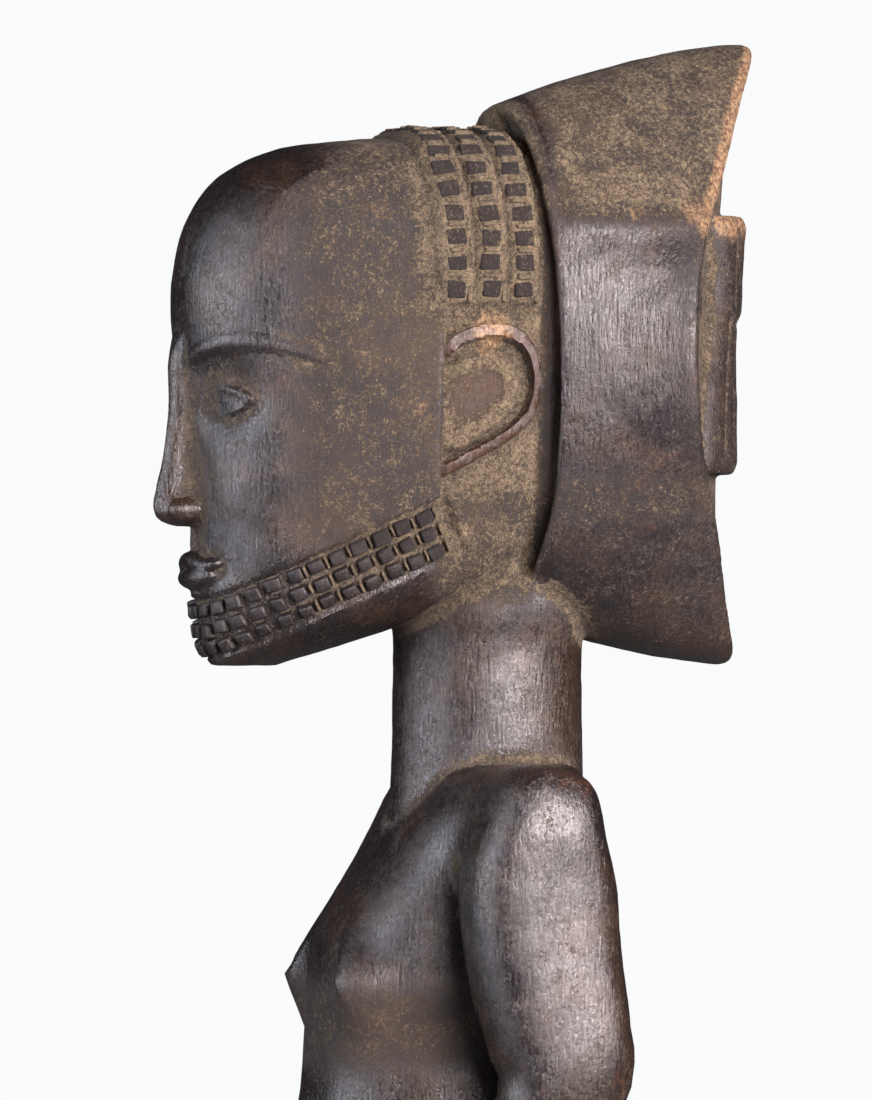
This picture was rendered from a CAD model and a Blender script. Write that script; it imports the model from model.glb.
import math
import random

import bmesh
import bpy
import numpy as np
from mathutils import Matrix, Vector


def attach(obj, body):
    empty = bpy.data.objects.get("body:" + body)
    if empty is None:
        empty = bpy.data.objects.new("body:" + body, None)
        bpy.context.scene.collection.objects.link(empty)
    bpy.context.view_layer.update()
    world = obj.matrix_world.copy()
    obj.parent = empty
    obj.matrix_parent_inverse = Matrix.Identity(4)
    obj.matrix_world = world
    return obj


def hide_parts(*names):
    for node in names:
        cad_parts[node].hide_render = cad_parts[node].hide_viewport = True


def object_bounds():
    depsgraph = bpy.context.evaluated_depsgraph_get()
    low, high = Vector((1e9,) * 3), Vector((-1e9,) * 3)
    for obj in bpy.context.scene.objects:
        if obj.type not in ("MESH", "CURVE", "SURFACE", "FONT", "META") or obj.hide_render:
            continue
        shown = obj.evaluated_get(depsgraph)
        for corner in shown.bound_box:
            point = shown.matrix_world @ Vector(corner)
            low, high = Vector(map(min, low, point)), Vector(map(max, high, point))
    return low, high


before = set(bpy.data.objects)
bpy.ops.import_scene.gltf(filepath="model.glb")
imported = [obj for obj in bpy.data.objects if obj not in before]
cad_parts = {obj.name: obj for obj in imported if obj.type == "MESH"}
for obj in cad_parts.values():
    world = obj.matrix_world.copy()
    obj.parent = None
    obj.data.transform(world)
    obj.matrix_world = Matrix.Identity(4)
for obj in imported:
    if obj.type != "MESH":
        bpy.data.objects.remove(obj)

# Carved wooden ancestor figure: one block of wood, dressed over its CAD solid.
# Metres, +Z up, the figure faces -Y and its left hand is on +X.
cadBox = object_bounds()
print("frame loaded", [round(v, 4) for v in cadBox[0]], [round(v, 4) for v in cadBox[1]])


def deselectAll():
    if bpy.context.object and bpy.context.object.mode != "OBJECT":
        bpy.ops.object.mode_set(mode="OBJECT")
    bpy.ops.object.select_all(action="DESELECT")


def makeActive(piece):
    deselectAll()
    piece.select_set(True)
    bpy.context.view_layer.objects.active = piece


def applyModifiers(piece):
    makeActive(piece)
    for modifier in list(piece.modifiers):
        bpy.ops.object.modifier_apply(modifier=modifier.name)


# Ends edit mode with all faces pointing out
def faceOutwards():
    bpy.ops.mesh.select_all(action="SELECT")
    bpy.ops.mesh.normals_make_consistent(inside=False)
    bpy.ops.object.mode_set(mode="OBJECT")


def addModifier(piece, name, kind, **values):
    modifier = piece.modifiers.new(name, kind)
    for label, value in values.items():
        setattr(modifier, label, value)


def joinPieces(pieces, name):
    deselectAll()
    for piece in pieces:
        piece.select_set(True)
    bpy.context.view_layer.objects.active = pieces[0]
    bpy.ops.object.join()
    joined = bpy.context.object
    joined.name = joined.data.name = name
    return joined


upright = Vector((0, 0, 1))


def signedPower(value, power):
    return math.copysign(abs(value) ** power, value)


def smoothStep(low, high, value):
    share = np.clip((value - low) / (high - low), 0.0, 1.0)
    return share * share * (3 - 2 * share)


# Rises over the first two limits and falls over the last two
def within(limits, value):
    a, b, c, d = limits
    return smoothStep(a, b, value) * (1 - smoothStep(c, d, value))


# Tables are in millimetres. The last columns may hold plain numbers
def metres(rows, plain=0):
    return [tuple(v / 1000 if i < len(row) - plain else v for i, v in enumerate(row)) for row in rows]


# A row at share t of a list of rows, on a smooth curve through them all
def between(rows, t):
    place = t * (len(rows) - 1)
    i = min(int(place), len(rows) - 2)
    f = place - i
    before, a, b, after = rows[max(i - 1, 0)], rows[i], rows[i + 1], rows[min(i + 2, len(rows) - 1)]
    return [
        0.5 * (2 * q + (r - p) * f + (2 * p - 5 * q + 4 * r - s) * f * f + (3 * q - p - 3 * r + s) * f ** 3)
        for p, q, r, s in zip(before, a, b, after)
    ]


def evenRows(rows, count):
    return [between(rows, k / (count - 1)) for k in range(count)]


# A row is a height, half width, front, widest place, back and squareness
def rowPoint(z, row, angle):
    _, halfWidth, front, widest, back, squareness = row
    depth = widest - front if math.cos(angle) > 0 else back - widest
    x = halfWidth * signedPower(math.sin(angle), 2 / squareness)
    return Vector((x, widest - depth * signedPower(math.cos(angle), 2 / squareness), z))


def levelRing(row, sides=72):
    return [rowPoint(row[0], row, 2 * math.pi * k / sides) for k in range(sides)]


def loftRows(name, rows, count, sides=72):
    return loftPiece(name, [levelRing(row, sides) for row in evenRows(rows, count)])


# A circle is extruded from ring to ring, and each new ring is set in its place
def loftPiece(name, rings, tip=None):
    deselectAll()
    bpy.ops.mesh.primitive_circle_add(vertices=len(rings[0]), radius=0.01, fill_type="NOTHING")
    piece = bpy.context.object
    piece.name = piece.data.name = name
    bpy.ops.object.mode_set(mode="EDIT")
    bpy.ops.mesh.select_all(action="SELECT")
    order = list(range(len(rings[0])))
    for step, ring in enumerate(rings):
        if step:
            bpy.ops.mesh.extrude_region_move()
        mesh = bmesh.from_edit_mesh(piece.data)
        mesh.verts.index_update()
        mesh.verts.ensure_lookup_table()
        if step:
            new = []
            for i in order:
                ends = [e.other_vert(mesh.verts[i]) for e in mesh.verts[i].link_edges]
                new.append(next(v.index for v in ends if v.select))
            order = new
        for i, point in zip(order, ring):
            mesh.verts[i].co = point
        bmesh.update_edit_mesh(piece.data)
    if tip is None:
        bpy.ops.mesh.edge_face_add()
    else:
        bpy.ops.mesh.extrude_region_move()
        bpy.ops.mesh.merge(type="CENTER")
        mesh = bmesh.from_edit_mesh(piece.data)
        for vert in mesh.verts:
            if vert.select:
                vert.co = tip
        bmesh.update_edit_mesh(piece.data)
    bpy.ops.mesh.select_all(action="DESELECT")
    mesh = bmesh.from_edit_mesh(piece.data)
    mesh.verts.ensure_lookup_table()
    for i in range(len(rings[0])):
        mesh.verts[i].select = True
    mesh.select_flush_mode()
    bpy.ops.mesh.edge_face_add()
    faceOutwards()
    return piece


def ballPiece(name, centre, radii, turn=(0, 0, 0), segments=32, rings=20):
    deselectAll()
    bpy.ops.mesh.primitive_uv_sphere_add(
        segments=segments, ring_count=rings, radius=1.0, location=centre, rotation=turn, scale=radii)
    piece = bpy.context.object
    piece.name = piece.data.name = name
    bpy.ops.object.transform_apply(location=True, rotation=True, scale=True)
    return piece


# A bar along points. Each radius is a pair: along "across", and square to it
def barPiece(name, points, radii, across=Vector((1, 0, 0)), sides=24, squareness=2.0):
    rings = []
    for i, point in enumerate(points):
        along = (points[min(i + 1, len(points) - 1)] - points[max(i - 1, 0)]).normalized()
        side = (across - along * across.dot(along)).normalized()
        front = along.cross(side)
        ring = []
        for k in range(sides):
            angle = 2 * math.pi * k / sides
            a = radii[i][0] * signedPower(math.cos(angle), 2 / squareness)
            b = radii[i][1] * signedPower(math.sin(angle), 2 / squareness)
            ring.append(point + side * a + front * b)
        rings.append(ring)
    return loftPiece(name, rings)


def limbPiece(name, rows, count, side, squareness=2.0):
    steps = evenRows(rows, count)
    points = [Vector((side * r[0], r[1], r[2])) for r in steps]
    return barPiece(name, points, [(r[3], r[4]) for r in steps], squareness=squareness)


# Head
headSet = {
    "chinZ": 0.4525, "crownZ": 0.6105, "faceFront": 0.092, "halfWidth": 0.0475,
    "sideEdgeY": -0.0262,      # where the flat side of the face ends, in front of the ear
    "sideStep": 0.0013,        # how far the part round the ear lies behind it
    "socketDepth": 0.0046,
}
chinZ, crownZ = headSet["chinZ"], headSet["crownZ"]
headHeight = crownZ - chinZ
eyeZ = chinZ + 0.5 * headHeight
browZ = chinZ + 0.585 * headHeight
noseZ = chinZ + 0.27 * headHeight
mouthZ = chinZ + 0.18 * headHeight
eyeX = headSet["halfWidth"] * 0.43
headRows = [(chinZ + row[0], *row[1:]) for row in metres([
    (0, 10, -85, -77, -66, 2.1), (5.5, 19, -88.5, -69, -48, 2.2), (14, 27.5, -90, -56, -23, 2.3),
    (27, 35, -90.5, -40, 8, 2.4), (43, 40.5, -90.5, -28, 27, 2.4), (66, 44.5, -92, -19, 34, 2.4),
    (92.43, 46.8, -95, -15, 35, 2.4), (114, 47.5, -96, -14, 35, 2.4), (133, 45.5, -91.5, -14, 34, 2.3),
    (146, 39, -81.5, -14, 32, 2.3), (154, 28, -64, -15, 26, 2.2), (157.2, 12, -40, -16, 10, 2.0),
], 1)]
headSteps = evenRows(headRows, 240)


def headRow(z):
    z = min(max(z, headSteps[0][0]), headSteps[-1][0])
    for low, high in zip(headSteps, headSteps[1:]):
        if low[0] <= z <= high[0]:
            share = (z - low[0]) / (high[0] - low[0])
            return [a + (b - a) * share for a, b in zip(low, high)]
    return headSteps[-1]


def headPoint(z, angle):
    return rowPoint(z, headRow(z), angle)


def headSide(y, z):
    _, halfWidth, front, widest, back, squareness = headRow(z)
    depth = widest - front if y < widest else back - widest
    share = min(abs(y - widest) / depth, 0.999)
    return halfWidth * (1 - share ** squareness) ** (1 / squareness)


# The face's soft planes: eye sockets, temples, hollows beside the mouth
def faceRelief(point):
    if point.y > -0.045:
        return point
    x, z = abs(point.x), point.z
    back = 0.0
    for midX, midZ, wide, high, power, depth in (
            (eyeX, eyeZ + 0.001, 0.0165, 0.015, 1.5, headSet["socketDepth"]),
            (0.027, noseZ + 0.01, 0.015, 0.016, 2, -0.0016), (0.0175, mouthZ, 0.009, 0.012, 2, 0.0012)):
        back += depth * max(0.0, 1 - ((x - midX) / wide) ** 2 - ((z - midZ) / high) ** 2) ** power
    return Vector((point.x, point.y + back, point.z))


def makeHead():
    rings = [[faceRelief(p) for p in levelRing(row, 128)] for row in evenRows(headRows, 100)]
    return loftPiece("head", rings, tip=Vector((0, headRows[-1][3], crownZ)))


# A path across the face at one height, from side to side, with its lift off the skin
def faceArc(degrees, heights, lift, steps=24):
    points = []
    for k in range(-steps, steps + 1):
        angle = math.radians(degrees * k / steps)
        points.append(headPoint(heights(abs(k / steps)), angle) + Vector((math.sin(angle), -math.cos(angle), 0)) * lift)
    return points


def makeEye(side):
    angle = math.asin((eyeX / headRow(eyeZ)[1]) ** (headRow(eyeZ)[5] / 2))
    ahead = headPoint(eyeZ, angle + 0.05) - headPoint(eyeZ, angle - 0.05)
    turn = math.atan2(ahead.y, ahead.x) * 0.62
    across = Vector((math.cos(turn), math.sin(turn), 0))
    outwards = Vector((math.sin(turn), -math.cos(turn), 0))
    flip = Vector((side, 1, 1))
    wide, deep, high = eyeSet["ball"]
    centre = headPoint(eyeZ, angle) - outwards * (headSet["socketDepth"] + 0.0036)
    parts = [ballPiece("eyeball", centre * flip, (wide, deep, high), (0, 0, side * turn))]
    for name, low, arch, size in (("upperLid", 0.001, 0.0026, 0.0012), ("lowerLid", -0.0012, -0.0028, 0.0009)):
        points, sizes = [], []
        for k in range(-20, 21):
            share = k / 20
            a, b = share * wide * 0.97, low * (1 - abs(share)) - 0.0003 + arch * (1 - abs(share) ** 2.2)
            c = deep * math.sqrt(max(0.02, 1 - (a / wide) ** 2 - (b / high) ** 2)) + 0.0002
            points.append((centre + across * a + outwards * c + Vector((0, 0, b))) * flip)
            sizes.append((size * (1.05 - 0.55 * abs(share) ** 3), size))
        parts.append(barPiece(name, points, sizes, across=upright, sides=14))
    return parts


eyeSet = {"ball": (0.0108, 0.0062, 0.0064)}


def makeFace():
    parts = []
    noseRows = [(low + up, *more) for low, (up, *more) in zip([noseZ] * 6 + [browZ] * 2, metres([
        (-1.4, 4, 6), (0.6, 6.2, 11), (4.5, 6.2, 12.6), (10, 5.2, 11.6), (20, 4.4, 8.8), (34, 4.2, 5.6),
        (-1, 5, 3.4), (7, 7.5, 0.4)]))]
    rings = []
    for z, halfWidth, reach in evenRows(noseRows, 40):
        face = headRow(z)[2]
        rings.append(levelRing((z, halfWidth, face - reach, face + 0.001, face + 0.012, 2.0), 40))
    parts.append(loftPiece("nose", rings))
    for side in (1, -1):
        wing = Vector((side * 0.0058, headRow(noseZ)[2] - 0.0036, noseZ + 0.0036))
        parts.append(ballPiece("noseWing", wing, (0.0036, 0.0062, 0.0038)))
        points = []
        for k in range(31):
            share = k / 30
            z = browZ - 0.005 + 0.009 * math.sin(math.pi * (0.14 + 0.74 * share))
            spot = headPoint(z, math.radians(8 + 50 * share))
            points.append(Vector((side * spot.x, spot.y + 0.0004, z)))
        sizes = [(0.0027 * math.sin(math.pi * (0.14 + 0.78 * k / 30)) + 0.0005, 0.0016) for k in range(31)]
        parts.append(barPiece("brow", points, sizes, across=upright, sides=16))
        parts += makeEye(side)
    lips = [
        ("upperLip", 23, lambda s: mouthZ + 0.0025 + 0.0007 * math.cos(5.2 * s) - 0.0006 * s, 0.0023, 0.003),
        ("lowerLip", 20, lambda s: mouthZ - 0.0026 + 0.001 * s * s, 0.0029, 0.0034),
    ]
    for name, degrees, heights, high, deep in lips:
        points = faceArc(degrees, heights, 0.0006)
        count = len(points) - 1
        ends = [(1 - abs(2 * k / count - 1) ** 2.4) ** 0.7 for k in range(count + 1)]
        sizes = [(high * e + 0.0004, deep * e + 0.0004) for e in ends]
        parts.append(barPiece(name, points, sizes, across=upright, sides=18))
    return parts


# Ears: a C-shaped rim open to the front, a crusted band inside it and a flat lobe
earSet = {
    "rim": metres([(-25.8, 545.5), (-21.5, 549.4), (-13, 551.9), (-5.5, 550.8), (-0.3, 546.2), (2.2, 538.5),
                   (1.6, 530.5), (-1.9, 524.8), (-9, 519.6), (-18, 514.6), (-26.2, 510.4)]),
    "lobe": metres([(-24.5, 536.5), (-18, 539.8), (-13, 540.8), (-9, 538.5), (-7.5, 534.5), (-10, 530),
                    (-15, 526.2), (-24.5, 521.5)]),
    "rimTop": 0.0013, "lobeTop": -0.0005, "bandTop": 0.0002, "bandWidth": 0.0046, "ground": -0.0013, "pit": -0.0027,
}


def insideShape(y, z, corners):
    inside = np.zeros(len(y), dtype=bool)
    for (ay, az), (by, bz) in zip(corners, corners[1:] + corners[:1]):
        crosses = (az > z) != (bz > z)
        inside ^= crosses & (y < ay + (by - ay) * (z - az) / ((bz - az) or 1e-9))
    return inside


# Distance from the lobe's edge, below zero inside it
def awayFromLobe(y, z):
    away = awayFromPath(y, z, earSet["lobe"] + earSet["lobe"][:1])
    return np.where(insideShape(y, z, earSet["lobe"]), -away, away)


# How far the carved ear stands out from the head's side
def earRelief(y, z):
    lobeAway = awayFromLobe(y, z)
    inEar = insideShape(y, z, earSet["rim"] + [(-0.03, 0.5104), (-0.03, 0.5455)])
    ground = np.where(inEar, earSet["pit"], earSet["ground"])
    wide = earSet["bandWidth"] + 0.0003 * np.sin(y * 900 + z * 500)
    band = 1 - smoothStep(wide - 0.0008, wide + 0.0008, lobeAway)
    height = ground + (earSet["bandTop"] - ground) * band * inEar
    height += (earSet["lobeTop"] - height) * (1 - smoothStep(-0.0004, 0.0005, lobeAway))
    half = 0.0017 + 0.0006 * smoothStep(0.544, 0.55, z)
    rim = 1 - smoothStep(half - 0.0004, half + 0.0004, awayFromPath(y, z, earSet["rim"]))
    return height + (earSet["rimTop"] - height) * rim


def carveEars(points):
    y, z, wide = points[:, 1], points[:, 2], np.abs(points[:, 0])
    zone = np.nonzero((y > -0.0275) & (y < 0.006) & (z > 0.5) & (z < 0.562) & (wide > 0.034))[0]
    y, z = y[zone], z[zone]
    target = np.array([headSide(a, b) for a, b in zip(y, z)]) + earRelief(y, z)
    share = within((-0.0268, -0.0258, 0.0036, 0.005), y) * within((0.503, 0.508, 0.5555, 0.559), z)
    points[zone, 0] += np.sign(points[zone, 0]) * (target - wide[zone]) * share


# Band over the head
bandSet = {"columns": 3, "frontY": -0.029, "backY": 0.002, "endZ": 0.56, "pitch": 0.0075,
           "lift": 0.0022, "sink": 0.006, "stripWidth": 0.0086, "stripRise": 0.0011, "firstRow": 0.004}


def bandColumn(column):
    pitch = (bandSet["backY"] - bandSet["frontY"]) / bandSet["columns"]
    return bandSet["frontY"] + pitch * (column + 0.5)


def bandPath(y, lift, extra=0.0, steps=60):
    rise = crownZ - 0.0012 - bandSet["endZ"]
    heights = [bandSet["endZ"] + rise * math.sin(math.pi / 2 * k / steps) for k in range(steps + 1)]
    half = []
    for z in heights:
        lean = y - 0.0026 * float(smoothStep(0.575, 0.61, z))
        half.append(Vector((headSide(lean, z), lean, z)))
    whole = half + [Vector((-p.x, p.y, p.z)) for p in reversed(half)]
    points = []
    for i, point in enumerate(whole):
        ahead = whole[min(i + 1, len(whole) - 1)] - whole[max(i - 1, 0)]
        outwards = Vector((ahead.z, 0, -ahead.x)).normalized()
        low = smoothStep(bandSet["endZ"] - 0.002, bandSet["endZ"] + 0.03, point.z)
        share = 0.3 + 0.7 * float(low) if lift > 0 else 1.0
        points.append(point + outwards * (lift * share + extra))
    return points


def pointOn(path, distance):
    lengths = [0.0]
    for a, b in zip(path, path[1:]):
        lengths.append(lengths[-1] + (b - a).length)
    target = min(max(lengths[-1] / 2 + distance, 0), lengths[-1])
    for i in range(len(path) - 1):
        if lengths[i + 1] >= target:
            share = (target - lengths[i]) / max(lengths[i + 1] - lengths[i], 1e-9)
            return path[i].lerp(path[i + 1], share), (path[i + 1] - path[i]).normalized()
    return path[-1], (path[-1] - path[-2]).normalized()


def makeBand():
    edgeYs = [bandSet["frontY"], bandSet["frontY"] + 0.0012, bandSet["backY"] - 0.001, bandSet["backY"]]
    outer = [bandPath(y, bandSet["lift"] - (0.0007 if y in (edgeYs[0], edgeYs[3]) else 0)) for y in edgeYs]
    inner = [bandPath(y, -bandSet["sink"]) for y in (bandSet["frontY"], bandSet["backY"])]
    parts = [loftPiece("band", list(zip(inner[0], *outer, inner[1])))]
    for column in range(bandSet["columns"]):
        path = bandPath(bandColumn(column) + 0.0009, bandSet["lift"], bandSet["stripRise"] - 0.0016)
        sizes = [(bandSet["stripWidth"] / 2, 0.0016)] * len(path)
        parts.append(barPiece("bandStrip", path, sizes, across=Vector((0, 1, 0)), sides=20, squareness=5.0))
    return parts


# Hair: flares back from the band to a rim of four lobes
hairSet = {
    "middleZ": 0.548, "backY": 0.0725, "halfHeight": 0.0915, "topReach": 0.0105,
    "bottomReach": 0.0035, "sweep": 0.52, "lobes": 0.085,
    "padRise": 0.0046,
    "channel": 0.0034,         # how deep the back lies inside the rim
}


def hairBack(x, z):
    rounding = 0.014
    reach = np.where(z > hairSet["middleZ"], hairSet["topReach"], hairSet["bottomReach"])
    out = reach * ((z - hairSet["middleZ"]) / hairSet["halfHeight"]) ** 2
    return hairSet["backY"] + out - hairSet["sweep"] * (np.hypot(x, rounding) - rounding)


def hairFront(z):
    heights = [0.45, 0.481, 0.502, 0.556, 0.58, 0.6, 0.619, 0.645]
    return np.interp(z, heights, [0.001, 0.0034, 0.0064, 0.006, 0.0044, 0.0024, 0.0, -0.0005])


def hairOutline(share, angle):
    lobes = 1 + hairSet["lobes"] * share ** 1.5 * (math.cos(4 * angle) - 1)
    flare = 1 - (1 - share) ** 1.6
    height = 0.0713 + 0.0205 * flare if math.sin(angle) > 0 else 0.079 + 0.0165 * flare
    power = 2 / (2.35 - 0.35 * share)
    return ((0.05 + 0.0135 * share) * signedPower(math.cos(angle), power) * lobes,
            height * signedPower(math.sin(angle), power) * lobes)


def hairRing(share, inset=1.0, sink=0.0, sides=128):
    ring = []
    for k in range(sides):
        x, rise = hairOutline(share, 2 * math.pi * k / sides)
        x, z = x * inset, hairSet["middleZ"] + rise * inset
        front = float(hairFront(z))
        y = front + (float(hairBack(x, z)) - front) * share - sink
        ring.append(Vector((x, y, z)))
    return ring


def makeHair():
    edges = [(0.0, 0.95), (0.003, 0.968), (0.012, 0.985), (0.022, 0.995)]
    edges += [(0.03 + 0.915 * k / 40, 1.0) for k in range(41)]
    edges += [(0.966, 0.998), (0.982, 0.993), (0.994, 0.984), (1.0, 0.972), (1.0, 0.955, 0.0003), (1.0, 0.94, 0.0016),
              (1.0, 0.925, hairSet["channel"])]
    rings = [hairRing(*edge) for edge in edges]
    for k in range(12):
        inset = 0.9 * (1 - k / 12) + 0.03
        rings.append(hairRing(1.0, inset, hairSet["channel"] * min(1.0, 0.35 + inset)))
    middle = Vector((0, hairBack(0, hairSet["middleZ"]) - 0.001, hairSet["middleZ"]))
    return loftPiece("hair", rings, tip=middle)


# The raised tress at the back of the hair: its upper fold lies over the lower one
padSet = {
    "lower": (0.5096, 0.5572, 0.0), "upper": (0.5548, 0.5868, 0.0015), "thick": 0.009, "strands": 8,
    "widths": metres([(509.6, 45), (522, 44.5), (535, 40.5), (547, 34.5), (557, 31), (570, 32.5), (586.8, 36)]),
}


def padHalfWidth(z):
    return np.interp(z, *zip(*padSet["widths"]))


def makePad():
    parts = []
    for name in ("lower", "upper"):
        low, high, more = padSet[name]
        rings = []
        for k in range(41):
            z = low + (high - low) * k / 40
            end = min(1.0, math.sqrt(min(1.0, (min(z - low, high - z) + 0.0006) / 0.004)))
            wide, thick = float(padHalfWidth(z)) * (0.93 + 0.07 * end), padSet["thick"]
            ring = []
            for i in range(72):
                angle = 2 * math.pi * i / 72
                x = wide * signedPower(math.cos(angle), 2 / 5)
                up = thick * signedPower(math.sin(angle), 2 / 4)
                up += thick * (end - 1) * 0.35 if math.sin(angle) > 0 else 0
                ring.append(Vector((x, float(hairBack(x, z)) + hairSet["padRise"] + more - thick + up, z)))
            rings.append(ring)
        parts.append(loftPiece("pad" + name.title(), rings))
    return parts


# Torso, neck and chest
torsoRows = metres([
    (196, 33, -23, 4, 29, 2.2), (208, 45.5, -34, 3, 36, 2.3), (224, 48, -43, 0, 35, 2.3), (243, 45, -52, -7, 27, 2.3),
    (268, 43, -62, -13, 19, 2.3), (296, 41, -61, -13, 17, 2.3), (322, 40.5, -56, -12, 18, 2.4),
    (344, 40, -54, -11, 20.5, 2.8), (360, 40.5, -52.4, -10, 22, 2.8), (373.8, 41, -49.6, -9, 23, 2.8),
    (385, 42, -43.4, -8, 23.5, 2.7), (396, 45.5, -36.2, -5, 24, 2.6), (408, 56, -28, 0, 23.5, 2.8),
    (417, 59, -21.5, 1, 22.5, 3.0), (421.5, 56, -17, 2, 20.5, 3.0), (423.3, 48, -12, 3, 17, 2.8),
], 1)
neckRows = metres([
    (395, 32, -32, 0, 30, 2.0), (413, 29.2, -29.2, 0, 29, 2.0), (430, 28.5, -28.5, 0, 28.5, 2.0),
    (456, 28.3, -28.3, 0, 28.4, 2.0), (466, 29.5, -29, 0, 29.8, 2.0), (472, 30, -29, 0, 30.4, 2.0),
    (480, 29.2, -29, 0, 29.5, 2.0), (500, 31, -29, 0, 31, 2.0),
], 1)
plateRows = metres([
    (318, 27, -53, -20, 0, 3.0), (330, 27.5, -53.2, -20, 0, 3.2), (339, 27.8, -53.4, -20, 0, 3.6),
    (347, 27.8, -53.6, -20, 0, 4.0), (360, 26.2, -52.2, -20, 0, 4.4), (373.8, 22.2, -49.6, -15, 0, 4.6),
    (382, 22.2, -45, -12, 0, 4.4), (390.9, 24, -39.3, -10, 0, 4.0), (403.8, 30.8, -29, -8, 0, 3.4),
    (408.5, 32.5, -24.6, -6, 0, 3.2), (411.6, 32.5, -21.5, -4, 0, 3.0), (415, 30.5, -18.5, -2, 0, 2.8),
], 1)
# Height, middle, front, half width and depth of each breast
breastSet = {"x": 0.0275, "z": 0.3592, "nipple": 0.0009}
breastRows = metres([
    (393, 20.5, -35.5, 5, 10), (383, 19.5, -43.2, 7.5, 14), (373.8, 20, -49.4, 9, 16), (366, 23.6, -53.7, 9.2, 17),
    (359.5, 26.8, -55.6, 8.8, 17), (355, 26.8, -54.9, 8.4, 15), (350, 26.4, -53.2, 7.8, 13), (344, 25.8, -50.8, 7, 11),
])


def makeBreast(side):
    rings = []
    for z, middle, front, half, deep in evenRows(breastRows, 44):
        ring = []
        for k in range(48):
            a = 2 * math.pi * k / 48
            ring.append(Vector((side * middle + half * signedPower(math.sin(a), 1.15),
                                front + deep - deep * signedPower(math.cos(a), 1.15), z)))
        rings.append(ring)
    return loftPiece("breast", rings)


# Each row of a limb is a place on the left side and two radii
armRows = metres([
    (55, 2, 422, 11, 10), (55.8, 1, 417, 17.4, 15), (58, -0.8, 405, 19.8, 18.6), (59, -1.6, 388, 19, 22.8),
    (61, 0, 365, 17.6, 22.6), (63, 3.4, 345, 16.8, 21.2), (64, 5, 332, 16, 19.6), (63, -1, 317, 14.8, 16.5),
    (58, -16, 301, 13, 14), (51, -33, 288, 10.8, 12.2), (43, -47.5, 278.5, 8.5, 12.5), (34, -56, 272, 6, 11),
])


def bellySide(z, angle):
    share = next(k / 400 for k in range(401) if between(torsoRows, k / 400)[0] >= z)
    return rowPoint(z, between(torsoRows, share), angle)


def makeHand(side):
    parts, runs = [], []
    for finger, length in enumerate((0.56, 0.62, 0.6, 0.5)):
        run = [(0.278 - finger * 0.006 - 0.006 * k / 12, 64 - 62 * length * k / 12) for k in range(13)]
        runs.append(("finger", run, 0.0034))
    runs.append(("thumb", [(0.283 + 0.005 * k / 12, 62 - 22 * k / 12) for k in range(13)], 0.0037))
    for name, run, size in runs:
        points = []
        for z, degrees in run:
            skin = bellySide(z, math.radians(degrees))
            spot = skin + Vector((skin.x, skin.y + 0.013, 0)).normalized() * 0.0012
            points.append(spot * Vector((side, 1, 1)))
        sizes = [(size * min(1.0, 0.55 + 0.15 * (12 - k)), size * 0.85) for k in range(13)]
        parts.append(barPiece(name, points, sizes, across=upright, sides=16))
    return parts


# Legs, feet and base
legX = 0.031
legRows = metres([
    (25, 5, 220, 21.5, 29), (27, 0, 198, 21.8, 29), (30, -8, 170, 20, 24.5), (31, -13.5, 143, 17.8, 19.5),
    (31.5, -7, 127, 17.8, 19), (32, 4, 104, 18.8, 21.5), (32, 5, 82, 16, 18.5), (32, 1.5, 64, 12.5, 14),
    (32, -1, 42, 13.5, 16),
])
baseSet = {"height": 0.046, "radius": 0.069, "edge": 0.003}


def makeFoot(side):
    parts = []
    x = side * (legX + 0.0015)
    rows = metres([(21.5, 5, 6), (18, 10.5, 12), (8, 14, 16.5), (-12, 14.8, 15), (-30, 16, 11), (-40, 16, 8.5)])
    steps = evenRows(rows, 20)
    points = [Vector((x, y, baseSet["height"])) for y, _, _ in steps]
    parts.append(barPiece("foot", points, [(a, b) for _, a, b in steps], sides=32))
    for toe in range(5):
        spot = (x + side * (toe - 2) * 0.0063, -0.0425 + 0.0012 * abs(toe - 1), baseSet["height"] + 0.002)
        parts.append(ballPiece("toe", spot, (0.0034, 0.0085, 0.0052), segments=20, rings=12))
    return parts


def makeBase():
    height, radius, edge = baseSet["height"], baseSet["radius"], baseSet["edge"]
    rows = [(0.0, radius - edge)]
    rows += [(edge * (1 - math.cos(a)), radius - edge * (1 - math.sin(a))) for a in (0.5, 1.0, 1.5)]
    rows += [(edge + (height - 2 * edge) * k / 12, radius - 0.0025 * k / 12) for k in range(1, 12)]
    top = radius - 0.0025
    rows += [(height - edge * (1 - math.sin(a)), top - edge * (1 - math.cos(a))) for a in (0.1, 0.5, 1.0, 1.5)]
    return loftPiece("base", [levelRing((z, r, -r, 0.0, r, 2.0), 96) for z, r in rows])


shoulderSet = metres([(47.5, -5.5, 402.5, 16.5, 16.5, 16), (36, -6, 408.5, 20, 16, 11.5), (43, 4, 412, 16, 16.5, 10)])


def makeBodyForms():
    parts = [loftRows("torso", torsoRows, 70), loftRows("neck", neckRows, 40), loftRows("breastPlate", plateRows, 40)]
    parts += [makeHead(), makeHair(), makeBase()]
    parts += makeBand() + makeFace() + makePad()
    for side in (1, -1):
        for x, y, z, *radii in shoulderSet:
            parts.append(ballPiece("shoulder", (side * x, y, z), radii))
        parts.append(limbPiece("arm", armRows, 70, side, squareness=2.8))
        parts.append(limbPiece("leg", legRows, 50, side))
        parts.append(ballPiece("buttock", (side * 0.02, 0.011, 0.215), (0.029, 0.03, 0.03)))
        parts += makeHand(side) + makeFoot(side) + [makeBreast(side)]
    parts.append(ballPiece("navel", (0, -0.0615, 0.272), (0.0055, 0.005, 0.006)))
    print("forms made", len(parts))
    return parts


# One skin over all forms, as one block of wood
skinSet = {"voxel": 0.00078, "quickVoxel": 0.0013, "smoothing": 4, "faces": 152000}


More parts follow.
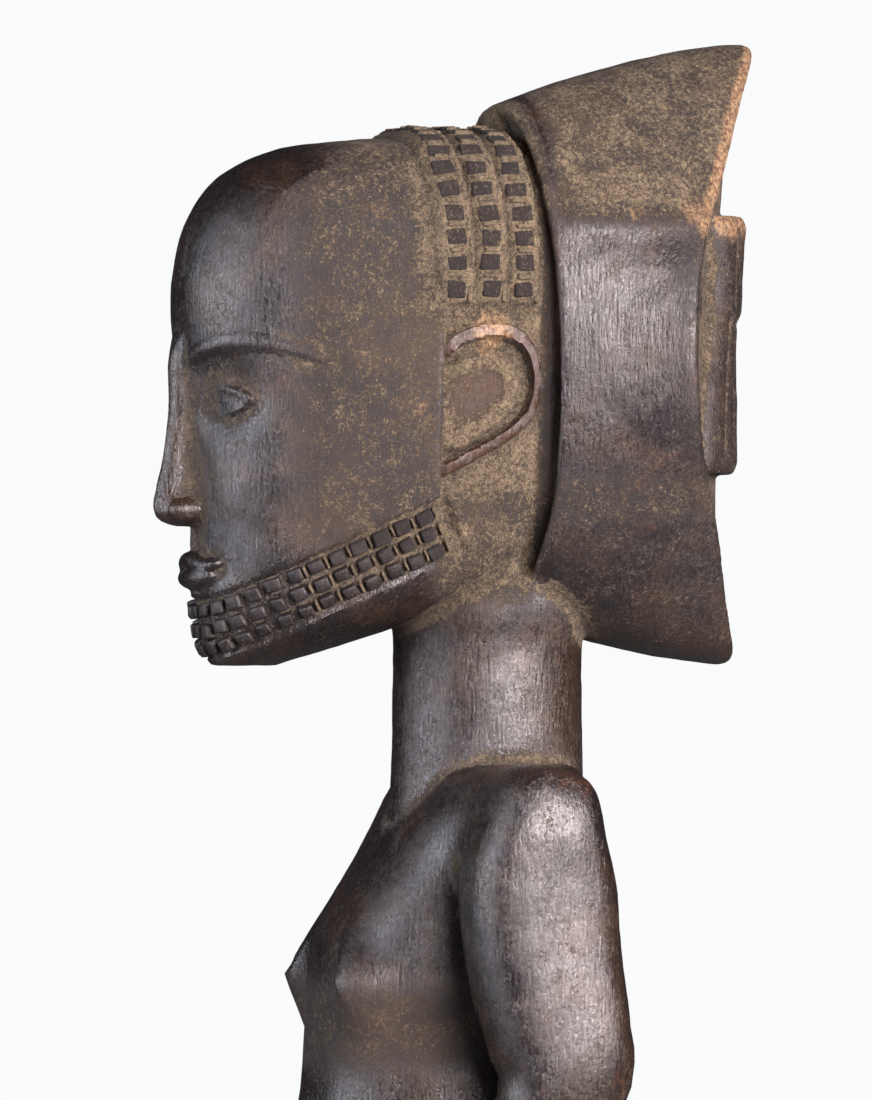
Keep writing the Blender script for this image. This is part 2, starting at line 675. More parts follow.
def makeSkin(parts):
    figure = joinPieces(parts, "carvedFigure")
    size = skinSet["voxel"]
    addModifier(figure, "oneSkin", "REMESH", mode="VOXEL", voxel_size=size)
    addModifier(figure, "softenSteps", "SMOOTH", factor=0.5, iterations=skinSet["smoothing"])
    applyModifiers(figure)
    print("skin", len(figure.data.vertices), "points")
    return figure


def readPoints(piece):
    count = len(piece.data.vertices) * 3
    points, normals = np.empty(count), np.empty(count)
    piece.data.vertices.foreach_get("co", points)
    piece.data.vertices.foreach_get("normal", normals)
    return points.reshape(-1, 3), normals.reshape(-1, 3)


def writePoints(piece, points):
    piece.data.vertices.foreach_set("co", points.ravel())
    piece.data.update()


beardSet = {"rows": 3, "pitch": 0.007, "rowPitch": 0.0062, "length": 0.09, "slope": 0.47, "frontZ": 0.4615,
            "bed": 0.0011}


# Where a point lies on the beard: its row number, and its distance back along the jaw
def beardPlace(points):
    slope = math.atan(beardSet["slope"])
    y, z = points[:, 1] + headSet["faceFront"], points[:, 2] - beardSet["frontZ"]
    return (z - y * beardSet["slope"]) / beardSet["rowPitch"], y * math.cos(slope) + z * math.sin(slope)


# Every point moves towards its neighbours, as far as its mask says
def relax(points, ends, rounds, mask=None):
    moved = points.copy()
    if mask is not None:
        near = ends[(mask[ends[:, 0]] > 0) | (mask[ends[:, 1]] > 0)]
        kept, local = np.unique(near, return_inverse=True)
        moved[kept] = relaxPart(points[kept], local.reshape(-1, 2), rounds, mask[kept][:, None])
        return moved
    return relaxPart(moved, ends, rounds, 1.0)


def relaxPart(moved, ends, rounds, mask):
    count = len(moved)
    a, b = ends.T
    links = np.maximum(np.bincount(a, minlength=count) + np.bincount(b, minlength=count), 1)[:, None]
    for _ in range(rounds):
        total = np.stack([np.bincount(a, weights=moved[b, i], minlength=count)
                          + np.bincount(b, weights=moved[a, i], minlength=count) for i in range(3)], axis=1)
        moved = moved + (total / links - moved) * mask
    return moved


def readEdges(piece):
    ends = np.empty(len(piece.data.edges) * 2, dtype=np.int32)
    piece.data.edges.foreach_get("vertices", ends)
    return ends.reshape(-1, 2)


def ballMask(points, centre, radii):
    away = (((np.abs(points * (1, 0, 0)) + points * (0, 1, 1) - centre) / radii) ** 2).sum(axis=1)
    return 1 - smoothStep(0.35, 1.0, away)


# Seams that the carver ran together: shoulder to chest, breast to ribs, hip to leg
seamSet = metres([
    (41, -15, 409, 24, 24, 18, 130), (24, -34, 398, 22, 16, 16, 60), (26, -48, 358, 22, 18, 40, 30),
    (34, -40, 362, 12, 20, 36, 40), (60, 0, 414, 24, 26, 18, 40), (40, 18, 408, 15, 18, 18, 90),
    (30, 0, 212, 30, 45, 20, 60), (42, 18, 380, 12, 14, 26, 50),
], 1)


# A soft line, as wide as its size, where away is nought
def softLine(away, size):
    return np.exp(-(away / size) ** 2)


carveSet = {"farShoulder": 0.34, "bedRidge": 0.0006, "groove": 0.0036, "hairRidge": 0.0009,
            "strand": 0.0011, "spine": 0.0022}


def carveSkin(figure):
    points, _ = readPoints(figure)
    ends = readEdges(figure)
    for *ball, rounds in seamSet:
        points = relax(points, ends, rounds, ballMask(points, ball[:3], ball[3:]))
    writePoints(figure, points)
    points, normals = readPoints(figure)
    x, y, z = points.T.copy()
    wide = np.abs(x)
    nub = softLine(np.hypot(wide - breastSet["x"], z - breastSet["z"]), 0.0019)
    points[:, 1] -= breastSet["nipple"] * nub * (y < -0.04)
    # The far shoulder is cut further back than the near one
    cut = within((0.384, 0.397, 0.416, 0.426), z) * smoothStep(0.03, 0.042, -x) * (1 - smoothStep(-0.014, -0.002, y))
    points[:, 1] += carveSet["farShoulder"] * cut * (-0.002 - points[:, 1])
    # The flat side of the face ends in a step in front of the ear
    edgeY = headSet["sideEdgeY"]
    step = within((edgeY - 0.0006, edgeY + 0.0006, 0.004, 0.006), y)
    step *= within((0.484, 0.5, 0.556, 0.566), z) * smoothStep(0.028, 0.036, wide)
    points[:, 0] -= np.sign(x) * headSet["sideStep"] * step
    carveEars(points)
    # The beard's bed lies a little below the cheek, and ends in a ridge
    row, along = beardPlace(points)
    end = beardSet["length"] * 0.865
    onJaw = smoothStep(0.446, 0.45, z) * (z < 0.515) * (1 - smoothStep(-0.016, -0.01, y))
    bed = within((-1.68, -1.52, 1.52, 1.68), row) * (1 - smoothStep(end, end + 0.001, along))
    bedRidge = softLine(along - end - 0.0016, 0.0009) * (np.abs(row) < 1.7)
    lift = (carveSet["bedRidge"] * bedRidge - beardSet["bed"] * bed) * onJaw
    # A deep groove parts the hair from the band and from the head
    groove = softLine(y - hairFront(z) + 0.0002, 0.0014) * smoothStep(0.474, 0.482, z)
    lift -= carveSet["groove"] * groove * (wide + np.maximum(z - 0.595, 0) > 0.028)
    # A worn ridge crosses the hair's side, where its flat part begins
    ridge = softLine(z - 0.5846 + 0.02 * (y - 0.03), 0.0042) * within((0.006, 0.014, 0.046, 0.054), y)
    lift += carveSet["hairRidge"] * ridge * smoothStep(0.034, 0.044, wide)
    points += normals * lift[:, None]
    # Strands of the tress at the back
    share = x / padHalfWidth(z)
    onPad = smoothStep(0.0006, 0.0024, y - hairBack(x, z)) * within((0.5095, 0.5125, 0.584, 0.5865), z)
    onPad *= 1 - smoothStep(0.86, 0.94, np.abs(share))
    lines = 0.5 + 0.5 * np.cos(math.pi * share * padSet["strands"])
    points[:, 1] -= carveSet["strand"] * onPad * lines ** 3
    # Spine and seat
    spine = softLine(x, 0.004) * within((0.236, 0.26, 0.385, 0.405), z) * (y > 0.008)
    points[:, 1] -= carveSet["spine"] * spine
    writePoints(figure, points)
    print("skin carved")


# Slow waves and small tool marks, as a knife leaves them
def toolMarks(figure):
    for name, size, strength, depth in (("slowWaves", 0.034, 0.001, 1), ("toolMarks", 0.007, 0.00042, 2)):
        waves = bpy.data.textures.new(name, "CLOUDS")
        waves.noise_scale = size
        waves.noise_depth = depth
        addModifier(figure, name, "DISPLACE", texture=waves, texture_coords="LOCAL", strength=strength, mid_level=0.5)
    applyModifiers(figure)


# The head keeps its faces, and the plainer lower body gives some up
def lightenSkin(figure):
    lower = 1 - smoothStep(0.3, 0.43, readPoints(figure)[0][:, 2]) * 0.8
    keepLess = figure.vertex_groups.new(name="keepLess")
    for step in range(11):
        chosen = np.nonzero((lower >= step / 10 - 0.05) & (lower < step / 10 + 0.05))[0]
        if len(chosen):
            keepLess.add(chosen.tolist(), step / 10, "REPLACE")
    count = len(figure.data.polygons) * 2
    if count > skinSet["faces"]:
        addModifier(figure, "lighten", "DECIMATE", ratio=skinSet["faces"] / count, vertex_group="keepLess",
                    vertex_group_factor=3.0)
        applyModifiers(figure)
    figure.vertex_groups.clear()
    print("skin lightened from", count, "to", len(figure.data.polygons), "faces")


# Small carved blocks and the lumps of crust between them: each is modelled once and copied with its own mesh
blockSet = {"share": 0.74, "rise": 0.0014, "sink": 0.003, "bevel": 0.00062, "jitter": 0.00034,
            "bandWidth": 0.007, "bandLength": 0.0055, "bandRise": 0.0004, "lumpRise": 0.00095}


def modelBlock(name, topShare):
    deselectAll()
    bpy.ops.mesh.primitive_cube_add(size=1.0, location=(0, 0, 0))
    piece = bpy.context.object
    piece.name = name
    bpy.ops.object.mode_set(mode="EDIT")
    bpy.ops.mesh.select_all(action="DESELECT")
    mesh = bmesh.from_edit_mesh(piece.data)
    for face in mesh.faces:
        face.select = face.normal.z > 0.5
    bpy.ops.transform.resize(value=(topShare, topShare, 1.0), center_override=(0, 0, 0.5))
    bpy.ops.object.mode_set(mode="OBJECT")
    return piece


def skinFrame(along, outwards):
    out = outwards.normalized()
    xAxis = (along - out * along.dot(out)).normalized()
    return xAxis, out.cross(xAxis), out


def placeBlock(pattern, dice, point, along, outwards, length, width, rise):
    xAxis, yAxis, out = skinFrame(along, outwards)
    copy = pattern.copy()
    copy.data = pattern.data.copy()
    bpy.context.collection.objects.link(copy)
    shake = blockSet["jitter"]
    point = point + xAxis * dice.uniform(-shake, shake) + yAxis * dice.uniform(-shake, shake)
    turn = math.radians(dice.uniform(-5, 5))
    length *= dice.uniform(0.9, 1.08)
    width *= dice.uniform(0.9, 1.08)
    rise *= dice.uniform(0.75, 1.15)
    tilt = [dice.uniform(-0.13, 0.13) for _ in range(2)]
    for vert in copy.data.vertices:
        a, b, c = vert.co
        a, b = a * math.cos(turn) - b * math.sin(turn), a * math.sin(turn) + b * math.cos(turn)
        up = rise * (1 + tilt[0] * a * 4 + tilt[1] * b * 4) if c > 0 else -blockSet["sink"]
        corner = 1 + dice.uniform(-0.12, 0.12)
        vert.co = point + xAxis * a * length * corner + yAxis * b * width * corner + out * up
    return copy


def beardPoint(angle, row):
    z = beardSet["frontZ"]
    for _ in range(12):
        y = headPoint(z, angle).y
        z = beardSet["frontZ"] + (y + headSet["faceFront"]) * beardSet["slope"] + row * beardSet["rowPitch"]
    return headPoint(z, angle)


def beardSteps(row):
    reach, wanted, found, last = 0.0, 0.0, [], beardPoint(0.0, row)
    for k in range(720):
        angle = math.radians(k / 4)
        point = beardPoint(angle, row)
        reach += (point - last).length
        last = point
        if reach >= wanted:
            found.append(angle)
            wanted += beardSet["pitch"]
        if wanted > beardSet["length"]:
            break
    return found


def finishBlocks(copies, name, bevelWidth):
    blocks = joinPieces(copies, name)
    addModifier(blocks, "wornCorners", "BEVEL", width=bevelWidth, segments=2, limit_method="ANGLE",
                angle_limit=math.radians(30))
    applyModifiers(blocks)
    makeActive(blocks)
    bpy.ops.object.mode_set(mode="EDIT")
    faceOutwards()
    print(name, len(copies), "with", len(blocks.data.polygons), "faces")
    return blocks


def pathLength(path):
    return sum((b - a).length for a, b in zip(path, path[1:]))


def makeBlocks():
    dice = random.Random(7)
    block, lump = modelBlock("block", 0.86), modelBlock("lump", 0.6)
    blocks, lumps = [], []
    pitch, rowPitch, share = beardSet["pitch"], beardSet["rowPitch"], blockSet["share"]
    for row in range(-1, beardSet["rows"] - 1):
        for column, angle in enumerate(beardSteps(row)):
            point = beardPoint(angle, row)
            along = beardPoint(angle + 0.02, row) - beardPoint(angle - 0.02, row)
            down = beardPoint(angle, row - 0.5) - beardPoint(angle, row + 0.5)
            outwards = down.cross(along).normalized()
            rise = blockSet["rise"] * (1.0 if column < 7 else 0.8)
            for side in (1, -1) if column else (1,):
                flip = Vector((side, 1, 1))
                blocks.append(placeBlock(block, dice, (point - outwards * 0.0004) * flip, along * flip, outwards * flip,
                                         pitch * share, rowPitch * share, rise))
                if column > 5 and dice.random() < 0.75:
                    spot = point + along.normalized() * pitch * 0.5 - outwards * 0.0006
                    lumps.append(placeBlock(lump, dice, spot * flip, along * flip, outwards * flip, 0.0013,
                                            rowPitch * 0.8, rise * 0.95))
    blockKind = (blocks, block, 0.0, blockSet["bandLength"], blockSet["bandWidth"], blockSet["bandRise"])
    lumpKind = (lumps, lump, 0.5, 0.0021, blockSet["bandWidth"], blockSet["lumpRise"])
    wallKind = (lumps, lump, 0.0, 0.0064, 0.0022, 0.001)      # crust along each column's rear edge
    for column in range(bandSet["columns"]):
        y = bandColumn(column)
        for path, ends, spacing, kinds in (
                (bandPath(y + 0.0003, bandSet["lift"], bandSet["stripRise"]), 2 * bandSet["firstRow"], bandSet["pitch"],
                 (blockKind, lumpKind)),
                (bandPath(y + 0.0046, bandSet["lift"], 0.0001), 0.004, 0.0052, (wallKind,))):
            whole = pathLength(path) - ends
            count = round(whole / spacing)
            for step in range(count + 1):
                for pieces, pattern, shift, length, width, rise in kinds:
                    if step + shift <= count:
                        point, along = pointOn(path, whole * ((step + shift) / count - 0.5))
                        outwards = Vector((along.z, 0, -along.x))
                        pieces.append(placeBlock(pattern, dice, point, along, outwards, length, width, rise))
    for pattern in (block, lump):
        bpy.data.objects.remove(pattern, do_unlink=True)
    return finishBlocks(lumps, "crustLumps", 0.00045), finishBlocks(blocks, "carvedBlocks", blockSet["bevel"])


# The joined faces keep a tag, so that the shader can tell blocks and lumps from the skin
def tagFaces(piece, value):
    layer = piece.data.attributes.new("tag", "FLOAT", "FACE")
    layer.data.foreach_set("value", [float(value)] * len(piece.data.polygons))


def unite(figure, other):
    addModifier(figure, "unite", "BOOLEAN", operation="UNION", solver="MANIFOLD", object=other)
    applyModifiers(figure)
    bpy.data.objects.remove(other, do_unlink=True)
    print("united", len(figure.data.polygons), "faces")


# Edges and hollows, found by setting the surface against a smoothed copy of itself
def storeValue(piece, name, values):
    layer = piece.data.attributes.new(name, "FLOAT", "POINT")
    layer.data.foreach_set("value", np.clip(values, 0.0, 1.0).astype(np.float32))


def awayFromPath(y, z, spots):
    away = np.full(len(y), 1.0)
    for ay, az in evenRows(spots, 60):
        away = np.minimum(away, np.hypot(y - ay, z - az))
    return away


# Where the crust of dust lies thick: limits from front to back, limits in height, least and most width, and amount
fromStart, onwards = (-2, -1), (8, 9)      # limits that no point reaches
crustSet = [
    ((-0.07, -0.04, 0.0, 0.006), (0.575, 0.606, *onwards), 0, 1, 0.62),   # crown
    ((-0.084, -0.06, -0.03, -0.024), (0.475, 0.495, *onwards), 0.03, 1, 0.42),   # temple
    ((-0.046, -0.03, 0.0, 0.006), (0.545, 0.56, *onwards), 0, 1, 0.75),   # before and behind the band
    ((-0.0305, -0.029, 0.0028, 0.0042), (0.5565, 0.5585, *onwards), 0, 1, 0.98),   # band
    ((-0.0275, -0.0262, 0.003, 0.0044), (0.49, 0.51, *onwards), 0, 1, 0.84),   # ear
    ((-0.034, -0.02, 0.004, 0.01), (0.462, 0.48, *onwards), 0, 1, 0.56),   # nape
    ((0.006, 0.012, *onwards), (0.577, 0.59, *onwards), 0, 1, 0.62),   # hair, above
    ((0.006, 0.012, *onwards), (0.455, 0.46, 0.508, 0.528), 0, 1, 0.2),   # hair, below
    ((-0.075, -0.03, *onwards), (0.486, 0.5, 0.504, 0.516), 0, 1, 0.4),   # jaw
    ((-0.03, 0.0, *onwards), (0.408, 0.416, 0.42, 0.446), 0, 0.034, 0.22),   # collar
    ((*fromStart, -0.0121, -0.012), (0.325, 0.34, 0.35, 0.366), 0, 0.044, 0.4),   # chest
    ((*fromStart, *onwards), (*fromStart, 0.05, 0.085), 0, 1, 0.45),   # feet
    ((0.03, 0.05, *onwards), (0.4599, 0.46, *onwards), 0, 1, 0.25),   # back
]


def crustPlaces(x, y, z):
    places = [amount * within(deep, y) * within(high, z) * (x >= least) * (x < most)
              for deep, high, least, most, amount in crustSet]
    return np.maximum.reduce(places)


# Middle and size of each spot that handling has worn to bare, reddish wood
wearSpots = metres([
    (46, 33, 585, 6, 0.85), (50, 50, 587, 7, 0.7), (46, -12, 551.5, 7.5, 1.0), (64, 29, 341, 8.5, 0.9),
    (66, 18, 330, 12, 0.55), (38, -43.7, 346.8, 8, 0.42), (46, -48, 585, 12, 0.4), (45, -35, 530, 13, 0.42),
    (44, -17, 534.5, 5, 0.42), (56, 36, 552, 6, 0.35), (50, 20, 530, 6, 0.35),
], 1)


def paintMasks(figure):
    points, normals = readPoints(figure)
    ends = readEdges(figure)
    fine, broad = [((relax(points, ends, rounds) - points) * normals).sum(axis=1) for rounds in (16, 140)]
    x, y, z = np.abs(points[:, 0]), points[:, 1], points[:, 2]
    clean = within((0.0026, 0.004, 0.0088, 0.0108), y) * (x > 0.028) * (z > 0.476)
    clean = np.maximum(clean, 0.55 * within((0.4, 0.41, 0.44, 0.452), z))
    storeValue(figure, "hollow", fine / 0.0005 * (1 - clean))
    storeValue(figure, "broadHollow", broad / 0.0018 * (1 - clean))
    storeValue(figure, "edge", -fine / 0.00055)
    rim = 1 - smoothStep(0.0018, 0.0024, awayFromPath(y, z, earSet["rim"]))
    rim = np.maximum(rim, 0.62 * (1 - smoothStep(-0.0008, 0.0006, awayFromLobe(y, z))))
    rim *= (x > 0.03) * (y < 0.006) * (z > 0.5)
    storeValue(figure, "crust", crustPlaces(x, y, z) * (1 - 0.95 * rim))
    storeValue(figure, "handled", rim)
    red = np.zeros(len(points))
    for *centre, size, amount in wearSpots:
        away = np.sqrt((x - centre[0]) ** 2 + (y - centre[1]) ** 2 + (z - centre[2]) ** 2)
        red = np.maximum(red, amount * (1 - smoothStep(size * 0.2, size * 1.5, away)))
    # The rim of the hair is rubbed bare above, where the flat side ends
    onRim = smoothStep(-0.0045, -0.002, y - hairBack(x, z)) * smoothStep(0.576, 0.584, z) * (y > 0.03)
    storeValue(figure, "redWear", np.maximum(red, 0.8 * onRim * np.clip(-fine / 0.0004, 0, 1)))
    print("masks painted")


# Shader nodes go into the tree that lies on the bench, each set beside the last one
bench = {}


def addNode(kind, **values):
    nodes = bench["tree"].nodes
    node = nodes.new(kind)
    count = len(nodes)
    node.location = (220 * (count % 9), -260 * (count // 9))
    for name, value in values.items():
        setattr(node, name, value)
    return node


def feed(socket, value):
    if isinstance(value, bpy.types.NodeSocket):
        bench["tree"].links.new(value, socket)
    elif value is not None:
        socket.default_value = value


def setInputs(node, values):
    for name, value in values.items():
        feed(node.inputs[name], value)
    return node.outputs[0] if node.outputs else None


def newGroup(name, values, outputs):
    group = bench["tree"] = bpy.data.node_groups.new(name, "ShaderNodeTree")
    group.interface.new_socket(name="Vector", in_out="INPUT", socket_type="NodeSocketVector")
    for label, value in values.items():
        group.interface.new_socket(name=label, in_out="INPUT", socket_type="NodeSocketFloat").default_value = value
    for label in outputs:
        group.interface.new_socket(name=label, in_out="OUTPUT", socket_type="NodeSocketFloat")
    return group, addNode("NodeGroupInput").outputs, addNode("NodeGroupOutput")


def mathNode(operation, a, b=None, clamp=False):
    node = addNode("ShaderNodeMath", operation=operation, use_clamp=clamp)
    feed(node.inputs[0], a)
    feed(node.inputs[1], b)
    return node.outputs[0]


def times(a, b):
    return mathNode("MULTIPLY", a, b)


# Each pair is a value and its weight
def weighed(*pairs):
    total = None
    for value, weight in pairs:
        part = value if weight == 1 else times(value, weight)
        total = part if total is None else mathNode("ADD", total, part)
    return total


def rangeNode(value, low, high, toLow=0.0, toHigh=1.0, smooth=True):
    node = addNode("ShaderNodeMapRange", interpolation_type="SMOOTHSTEP" if smooth else "LINEAR")
    return setInputs(node, {"Value": value, "From Min": low, "From Max": high, "To Min": toLow, "To Max": toHigh})


def noiseNode(vector, scale, detail, roughness, distortion=0.0):
    node = addNode("ShaderNodeTexNoise")
    return setInputs(node, {"Vector": vector, "Scale": scale, "Detail": detail, "Roughness": roughness,
                                  "Distortion": distortion})


def mixColour(share, first, second, blend="MIX"):
    node = addNode("ShaderNodeMix", data_type="RGBA", blend_type=blend)
    for index, value in ((0, share), (6, first), (7, second)):
        feed(node.inputs[index], value)
    return node.outputs[2]


def squeezed(vector, tall):
    return setInputs(addNode("ShaderNodeMapping"), {"Vector": vector, "Scale": (1.0, 1.0, tall)})


# Fine streaks along the block's grain, and small pores with dust in them
def grainGroup():
    group, given, end = newGroup("woodGrain", {"Fineness": 1100.0}, ("Streaks", "Pores"))
    vector = given["Vector"]
    streaks = noiseNode(squeezed(vector, 0.14), given["Fineness"], 4.0, 0.65, 0.4)
    pores = weighed((noiseNode(squeezed(vector, 0.62), 1500.0, 4.0, 0.7, 0.5), 1),
                    (noiseNode(vector, 140.0, 4.0, 0.65), 0.42))
    setInputs(end, {"Streaks": streaks, "Pores": rangeNode(pores, 0.78, 0.92)})
    return group


# Crust of dust and old oil: thick in hollows, speckled where it thins out
def crustGroup():
    values = {"Hollow": 0.0, "Broad Hollow": 0.0, "Place": 0.0, "Speckle Scale": 780.0}
    group, given, end = newGroup("crustInHollows", values, ("Mask", "Grit", "Tone"))
    vector = given["Vector"]
    patch = noiseNode(vector, 120.0, 7.0, 0.72, 0.6)
    grit = noiseNode(vector, given["Speckle Scale"], 6.0, 0.75, 0.3)
    fleck = noiseNode(vector, 2300.0, 3.0, 0.6)
    grain = noiseNode(vector, 1900.0, 4.0, 0.75)
    lie = weighed((given["Hollow"], 0.46), (given["Broad Hollow"], 0.17), (given["Place"], 0.62))
    total = weighed((lie, 1), (weighed((patch, 0.62), (grit, 1.05), (fleck, 0.7)), 1))
    tone = weighed((patch, 0.3), (grain, 0.75), (grit, 0.6), (given["Hollow"], -0.07))
    tone = weighed((rangeNode(tone, 0.7, 1.0, 0.0, 0.85, smooth=False), 1),
                   (rangeNode(fleck, 0.66, 0.74, 0.0, 0.55), 1))
    setInputs(end, {"Mask": rangeNode(total, 1.36, 1.76), "Grit": grit, "Tone": tone})
    return group


# Bare wood on rubbed edges and in the places that hands have worn
def wearGroup():
    group, given, end = newGroup("rubbedEdges", {"Edge": 0.0, "Place": 0.0}, ("Mask",))
    breakUp = noiseNode(given["Vector"], 230.0, 6.0, 0.74, 0.5)
    total = weighed((given["Edge"], 0.12), (given["Place"], 0.58), (breakUp, 1))
    setInputs(end, {"Mask": rangeNode(total, 0.74, 1.16)})
    return group


woodSet = {
    "black": (0.0085, 0.006, 0.006, 1.0), "brown": (0.025, 0.014, 0.0088, 1.0), "red": (0.07, 0.027, 0.0145, 1.0),
    "crustDark": (0.022, 0.0155, 0.01, 1.0), "crustPale": (0.25, 0.176, 0.108, 1.0), "worn": (0.35, 0.205, 0.105, 1.0),
    "wornDark": (0.085, 0.034, 0.018, 1.0), "poreDust": (0.082, 0.057, 0.038, 1.0), "roughness": 0.25,
    "coat": 0.26, "coatRoughness": 0.23, "bump": 0.5, "bumpDepth": 0.0009, "crustDullness": 0.48, "poreDullness": 0.2,
}


def placedGroup(group, values):
    node = addNode("ShaderNodeGroup", node_tree=group)
    setInputs(node, values)
    return node.outputs


def handledWood():
    groups = grainGroup(), crustGroup(), wearGroup()
    wood = bpy.data.materials.new("handledDarkWood")
    wood.use_nodes = True
    bench["tree"] = wood.node_tree
    coords = addNode("ShaderNodeTexCoord").outputs["Object"]
    masks = {name: addNode("ShaderNodeAttribute", attribute_name=name, attribute_type="GEOMETRY").outputs["Fac"]
             for name in ("hollow", "broadHollow", "edge", "crust", "redWear", "handled", "tag")}
    # Blocks carry tag 2 and lumps of crust tag 1
    block = mathNode("GREATER_THAN", masks["tag"], 1.5)
    lump = mathNode("SUBTRACT", mathNode("GREATER_THAN", masks["tag"], 0.5), block)
    bareTop = mathNode("SUBTRACT", 1.0, block)
    place = times(masks["crust"], weighed((bareTop, 1), (block, 0.28)))
    flat = mathNode("SUBTRACT", 1.0, times(masks["tag"], 0.42))
    grain = placedGroup(groups[0], {"Vector": coords})
    crust = placedGroup(groups[1], {
        "Vector": coords, "Hollow": times(masks["hollow"], bareTop),
        "Broad Hollow": times(masks["broadHollow"], bareTop), "Place": weighed((place, 1), (lump, 1))})
    wear = placedGroup(groups[2], {
        "Vector": coords, "Edge": times(masks["edge"], flat), "Place": masks["redWear"]})
    # Colour: near-black wood, reddish where thin, then streaks, pores, crust and bare wood over it
    tone = rangeNode(noiseNode(coords, 34.0, 7.0, 0.64, 0.5), 0.4, 0.66)
    blush = rangeNode(noiseNode(coords, 60.0, 6.0, 0.7, 0.8), 0.57, 0.75, 0.0, 0.5)
    blush = times(mathNode("MAXIMUM", blush, times(masks["handled"], 0.34)), bareTop)
    streak = rangeNode(grain["Streaks"], 0.3, 0.7, 0.55, 1.55, smooth=False)
    shade = setInputs(addNode("ShaderNodeCombineColor"), {"Red": streak, "Green": streak, "Blue": streak})
    colour = mixColour(tone, woodSet["black"], woodSet["brown"])
    colour = mixColour(blush, colour, woodSet["red"])
    colour = mixColour(times(block, 0.78), colour, woodSet["black"])
    colour = mixColour(1.0, colour, shade, "MULTIPLY")
    colour = mixColour(times(grain["Pores"], 0.62), colour, woodSet["poreDust"])
    crustColour = mixColour(crust["Tone"], woodSet["crustDark"], woodSet["crustPale"])
    colour = mixColour(times(crust["Mask"], 0.9), colour, crustColour)
    bareColour = mixColour(rangeNode(crust["Grit"], 0.38, 0.62), woodSet["wornDark"], woodSet["worn"])
    colour = mixColour(times(wear["Mask"], 0.8), colour, bareColour)
    # Gloss: crust and pores are dull, handled wood has a thin coat of oil
    level = woodSet["roughness"]
    streaky = rangeNode(grain["Streaks"], 0.3, 0.7, level - 0.1, level + 0.1, smooth=False)
    rough = weighed((crust["Mask"], woodSet["crustDullness"]), (streaky, 1))
    rough = mathNode("ADD", rough, times(grain["Pores"], woodSet["poreDullness"]), clamp=True)
    rough = weighed((rough, 1), (block, 0.22), (rangeNode(crust["Grit"], 0.36, 0.64, -0.07, 0.11), 1))
    dusty = rangeNode(masks["crust"], 0.0, 0.45, 0.0, 0.52)
    dusty = mathNode("MAXIMUM", dusty, times(masks["handled"], 0.16))
    rough = mathNode("ADD", rough, dusty, clamp=True)
    dull = weighed((crust["Mask"], 1), (masks["crust"], 1), (block, 1), (masks["handled"], 0.4))
    # Bump: streaks, pores and grit, too fine for the mesh
    gritty = times(crust["Grit"], mathNode("ADD", crust["Mask"], 0.35))
    height = weighed((grain["Streaks"], 0.62), (grain["Pores"], -0.26), (gritty, 1))
    bump = setInputs(addNode("ShaderNodeBump"), {
        "Strength": woodSet["bump"], "Distance": woodSet["bumpDepth"], "Height": height})
    setInputs(wood.node_tree.nodes["Principled BSDF"], {
        "Base Color": colour, "Roughness": rough, "Normal": bump, "Coat Normal": bump, "IOR": 1.52,
        "Coat Weight": rangeNode(dull, 0.0, 0.55, woodSet["coat"], 0.0), "Coat Roughness": woodSet["coatRoughness"],
        "Coat Tint": (1.0, 0.95, 0.95, 1.0), "Specular Tint": (1.0, 0.9, 0.92, 1.0)})
    return wood


# The figure keeps to its measured box, and its underside is flat
def finishPoints(piece):
    points, _ = readPoints(piece)
    points[:, 2] = np.where(points[:, 2] < 0.001, 0.0, points[:, 2])
    writePoints(piece, np.clip(points, np.array(cadBox[0]), np.array(cadBox[1])))


figure = makeSkin(makeBodyForms())
carveSkin(figure)
toolMarks(figure)
lightenSkin(figure)
tagFaces(figure, 0)
for value, pieces in enumerate(makeBlocks(), start=1):
    tagFaces(pieces, value)
    unite(figure, pieces)
print("tags kept", "tag" in figure.data.attributes)
paintMasks(figure)
makeActive(figure)
bpy.ops.object.shade_smooth_by_angle(angle=math.radians(50))
figure.data.materials.clear()
figure.data.materials.append(handledWood())
finishPoints(figure)
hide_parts("ancestor_figure")
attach(figure, "root")
print("figure dressed")

# Floor, light and camera
stageSet = {
    "azimuth": 74.0, "distance": 3.0, "pixel": 0.0003, "middle": (436, 550), "axisColumn": 487, "groundRow": 2173,
    "keyPower": 66.0, "rimPower": 20.0, "fillPower": 0.4,
}


def makeFloor():
    deselectAll()
    bpy.ops.mesh.primitive_circle_add(vertices=96, radius=2.5, fill_type="NGON", location=(0, 0, -0.0005))
    floor = bpy.context.object
    floor.name = "paleFloor"
    bpy.ops.object.transform_apply(location=True)
    paint = bpy.data.materials.new("paleFloorPaint")
    paint.use_nodes = True
    bench["tree"] = paint.node_tree
    seen = addNode("ShaderNodeLightPath").outputs["Is Camera Ray"]
    tone = mixColour(seen, (0.16, 0.16, 0.17, 1.0), (0.86, 0.86, 0.87, 1.0))
    setInputs(paint.node_tree.nodes["Principled BSDF"], {"Base Color": tone, "Roughness": 0.9})
    floor.data.materials.append(paint)


def cameraAxes():
    a = math.radians(stageSet["azimuth"])
    return Vector((math.sin(a), -math.cos(a), 0)), Vector((math.cos(a), math.sin(a), 0))


# A lamp or camera at its spot, looking the given way
def placeThing(name, data, spot, ahead):
    thing = bpy.data.objects.new(name, data)
    bpy.context.collection.objects.link(thing)
    thing.location = spot
    thing.rotation_euler = ahead.to_track_quat("-Z", "Y").to_euler()
    return thing


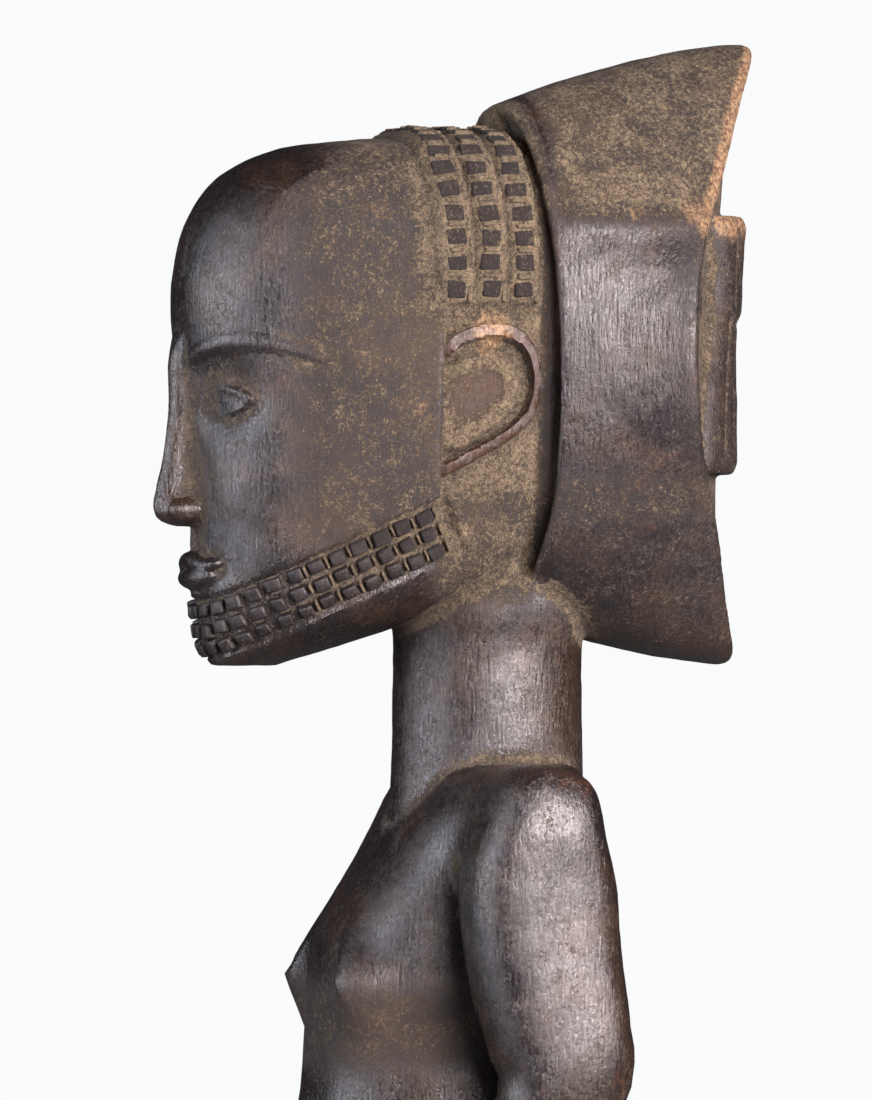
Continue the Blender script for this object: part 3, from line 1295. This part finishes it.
def addSoftLight(name, degreesRight, height, distance, size, power, colour):
    towards, right = cameraAxes()
    a = math.radians(degreesRight)
    flat = towards * math.cos(a) + right * math.sin(a)
    target = Vector((0, 0, 0.5))
    spot = target + flat * distance + Vector((0, 0, height))
    lamp = bpy.data.lights.new(name, "AREA")
    lamp.shape = "ELLIPSE"
    lamp.size, lamp.size_y = size
    lamp.energy = power
    lamp.color = colour
    placeThing(name, lamp, spot, target - spot)


def makeLights():
    addSoftLight("softKey", 34, 0.26, 1.3, (1.25, 0.62), stageSet["keyPower"], (1.0, 0.965, 0.96))
    addSoftLight("softRim", -74, 0.18, 1.3, (0.5, 1.2), stageSet["rimPower"], (0.9, 0.97, 1.06))
    addSoftLight("softFill", 4, 0.7, 1.9, (0.9, 0.7), stageSet["fillPower"], (1.0, 0.97, 0.95))
    world = bpy.data.worlds.new("paleStudio")
    bpy.context.scene.world = world
    world.use_nodes = True
    tree = bench["tree"] = world.node_tree
    dim = setInputs(tree.nodes["Background"], {"Color": (0.026, 0.025, 0.034, 1.0)})
    seen = setInputs(addNode("ShaderNodeBackground"), {"Color": (0.955, 0.96, 0.97, 1.0)})
    mix = addNode("ShaderNodeMixShader")
    for socket, value in zip(mix.inputs, (addNode("ShaderNodeLightPath").outputs["Is Camera Ray"], dim, seen)):
        tree.links.new(value, socket)
    tree.links.new(mix.outputs[0], tree.nodes["World Output"].inputs["Surface"])


def makeCamera():
    towards, right = cameraAxes()
    pixel = stageSet["pixel"]
    column, row = stageSet["middle"]
    target = right * (column - stageSet["axisColumn"]) * pixel
    target.z = (stageSet["groundRow"] - row) * pixel
    lens = bpy.data.cameras.new("photoView")
    lens.sensor_width = 36.0
    lens.sensor_fit = "AUTO"
    lens.lens = 36.0 * stageSet["distance"] / (1100 * pixel)
    lens.clip_end = 50.0
    spot = target + towards * stageSet["distance"]
    bpy.context.scene.camera = placeThing("photoView", lens, spot, -towards)


makeFloor()
makeLights()
makeCamera()
bpy.context.scene.view_settings.view_transform = "Standard"
print("stage set")
